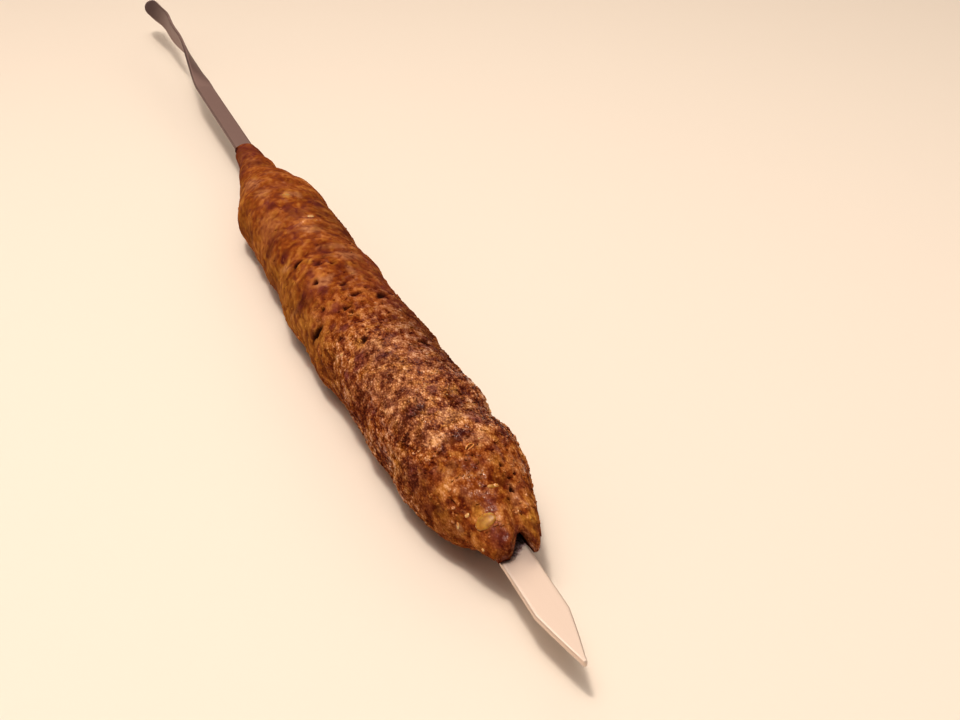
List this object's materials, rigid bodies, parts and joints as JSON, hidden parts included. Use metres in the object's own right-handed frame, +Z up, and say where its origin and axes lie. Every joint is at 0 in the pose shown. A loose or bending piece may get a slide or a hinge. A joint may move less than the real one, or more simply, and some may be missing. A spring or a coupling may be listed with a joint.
{
  "type": "kofta skewer",
  "caption": "Grilled minced-meat kebab moulded by hand along a flat, twisted steel skewer with a pointed blade and a rounded handle end.",
  "frame": {"origin": "on the surface it lies on, under the middle of the skewer's length and on the line of its blade", "axes": "+X along the skewer from the handle towards the point, +Y across it, +Z up"},
  "size_m": [0.58, 0.0346, 0.0293],
  "materials": {
    "grilled_meat": null,
    "skewer_steel": "plain rolled steel strip, dulled and lightly smeared by use"
  },
  "bodies": {
    "root": {"kofta_meat": "grilled_meat", "skewer": "skewer_steel"}
  },
  "joints": []
}
